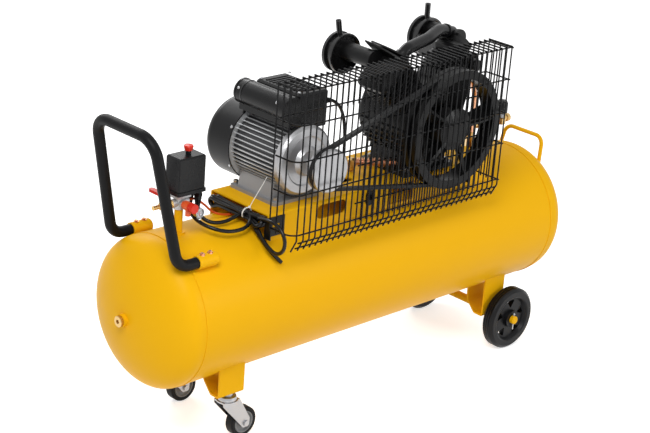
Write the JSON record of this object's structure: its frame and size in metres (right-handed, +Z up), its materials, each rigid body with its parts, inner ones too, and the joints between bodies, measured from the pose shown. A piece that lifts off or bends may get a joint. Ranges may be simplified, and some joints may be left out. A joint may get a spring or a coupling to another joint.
{
  "type": "belt-driven air compressor",
  "caption": "Wheeled horizontal air receiver carrying a belt-driven V-twin compressor pump, an electric motor, a wire belt guard and a pressure switch.",
  "frame": {"origin": "on the floor under the middle of the receiver", "axes": "+X along the receiver from the push handle to the fixed wheels, -Y towards the belt side, +Z up"},
  "size_m": [1.5725, 0.421, 1.0045],
  "materials": {
    "yellow_paint": "gloss powder coat",
    "brass": "satin",
    "zinc": "bright zinc plate",
    "wheel_plastic": "satin",
    "caster_grey": "satin",
    "tread": "matt",
    "foam": "matt",
    "copper": "satin",
    "aluminium_cast": "as cast",
    "grey_paint": "satin",
    "aluminium_bright": "machined",
    "black_paint": "satin",
    "black_plastic": "satin",
    "belt_rubber": "matt",
    "cast_black": "black paint over casting",
    "wire_black": "satin dip coat",
    "red_plastic": "gloss",
    "orange_metal": "gloss",
    "needle_red": "matt",
    "cord_pvc": "satin",
    "white_tie": "satin",
    "orange_tube": "gloss"
  },
  "bodies": {
    "frame": {"tank_shell": "yellow_paint", "tank_domes": "yellow_paint", "inspection_plugs": "brass", "caster_feet": "yellow_paint", "axle_feet": "yellow_paint", "rear_axle": "yellow_paint", "cotter_pins": "zinc", "caster_race_front": "zinc", "caster_race_back": "zinc", "push_handle": "foam", "handle_sockets": "yellow_paint", "socket_screws": "copper", "lift_handle": "yellow_paint", "platform": "yellow_paint", "motor_housing": "aluminium_cast", "motor_base": "grey_paint", "motor_shield": "aluminium_bright", "fan_cowl": "black_paint", "capacitor_case": "black_plastic", "terminal_box": "black_plastic", "drive_belt": "belt_rubber", "crankcase": "cast_black", "cylinders": "cast_black", "heads": "cast_black", "air_filters": "black_plastic", "transfer_pipe": "black_plastic", "check_valve": "brass", "discharge_pipe": "copper", "cage_front": "wire_black", "cage_top": "wire_black", "cage_back": "wire_black", "cage_ends": "wire_black", "cage_brackets": "black_paint", "hold_down_bolts": "zinc", "standpipe": "yellow_paint", "manifold": "aluminium_cast", "switch_base": "black_plastic", "switch_cover": "black_plastic", "ball_valve": "brass", "regulator_body": "orange_metal", "gauge_case": "zinc", "cord_hank": "cord_pvc", "power_cord": "cord_pvc", "cord_tie": "white_tie", "motor_cable": "cord_pvc", "pilot_tube": "orange_tube"},
    "gauge_needle": {"gauge_needle": "needle_red"},
    "switch_knob": {"switch_knob": "red_plastic"},
    "regulator_knob": {"regulator_knob": "red_plastic"},
    "valve_lever": {"valve_lever": "red_plastic"},
    "caster_swivel_front": {"caster_fork_front": "zinc"},
    "caster_swivel_back": {"caster_fork_back": "zinc"},
    "caster_wheel_front": {"caster_core_front": "caster_grey", "caster_tyre_front": "tread"},
    "caster_wheel_back": {"caster_core_back": "caster_grey", "caster_tyre_back": "tread"},
    "rear_wheel_front": {"rear_wheel_front": "wheel_plastic"},
    "rear_wheel_back": {"rear_wheel_back": "wheel_plastic"},
    "flywheel": {"flywheel": "cast_black"},
    "motor_rotor": {"motor_rotor": "aluminium_bright"}
  },
  "joints": [
    {"name": "caster_swivel_front", "type": "hinge", "parent": "frame", "child": "caster_swivel_front", "pos_m": [-0.514, -0.123, 0.11], "axis": [0, 0, 1], "continuous": true},
    {"name": "caster_swivel_back", "type": "hinge", "parent": "frame", "child": "caster_swivel_back", "pos_m": [-0.514, 0.123, 0.11], "axis": [0, 0, 1], "continuous": true},
    {"name": "caster_roll_front", "type": "hinge", "parent": "caster_swivel_front", "child": "caster_wheel_front", "pos_m": [-0.462, -0.123, 0.042], "axis": [0, 1, 0], "continuous": true},
    {"name": "caster_roll_back", "type": "hinge", "parent": "caster_swivel_back", "child": "caster_wheel_back", "pos_m": [-0.462, 0.123, 0.042], "axis": [0, 1, 0], "continuous": true},
    {"name": "rear_roll_front", "type": "hinge", "parent": "frame", "child": "rear_wheel_front", "pos_m": [0.537, -0.1705, 0.093], "axis": [0, 1, 0], "continuous": true},
    {"name": "rear_roll_back", "type": "hinge", "parent": "frame", "child": "rear_wheel_back", "pos_m": [0.537, 0.1705, 0.093], "axis": [0, 1, 0], "continuous": true},
    {"name": "flywheel_spin", "type": "hinge", "parent": "frame", "child": "flywheel", "pos_m": [0.196, -0.176, 0.745], "axis": [0, 1, 0], "continuous": true},
    {"name": "rotor_spin", "type": "hinge", "parent": "frame", "child": "motor_rotor", "pos_m": [-0.266, -0.176, 0.716], "axis": [0, 1, 0], "continuous": true},
    {"name": "switch_press", "type": "slide", "parent": "frame", "child": "switch_knob", "axis": [0, 0, 1], "range_m": [-0.004, 0]},
    {"name": "regulator_turn", "type": "hinge", "parent": "frame", "child": "regulator_knob", "pos_m": [-0.6, -0.05, 0.642], "axis": [0, 1, 0], "range_deg": [-270, 270]},
    {"name": "needle_turn", "type": "hinge", "parent": "frame", "child": "gauge_needle", "pos_m": [-0.576, -0.05, 0.625], "axis": [0, 1, 0], "range_deg": [0, 270]},
    {"name": "lever_turn", "type": "hinge", "parent": "frame", "child": "valve_lever", "pos_m": [-0.642, 0, 0.662], "axis": [0, 0, 1], "range_deg": [0, 90]}
  ],
  "couplings": [
    {"joint": "rotor_spin", "follows": "flywheel_spin", "ratio": 3.0381}
  ]
}
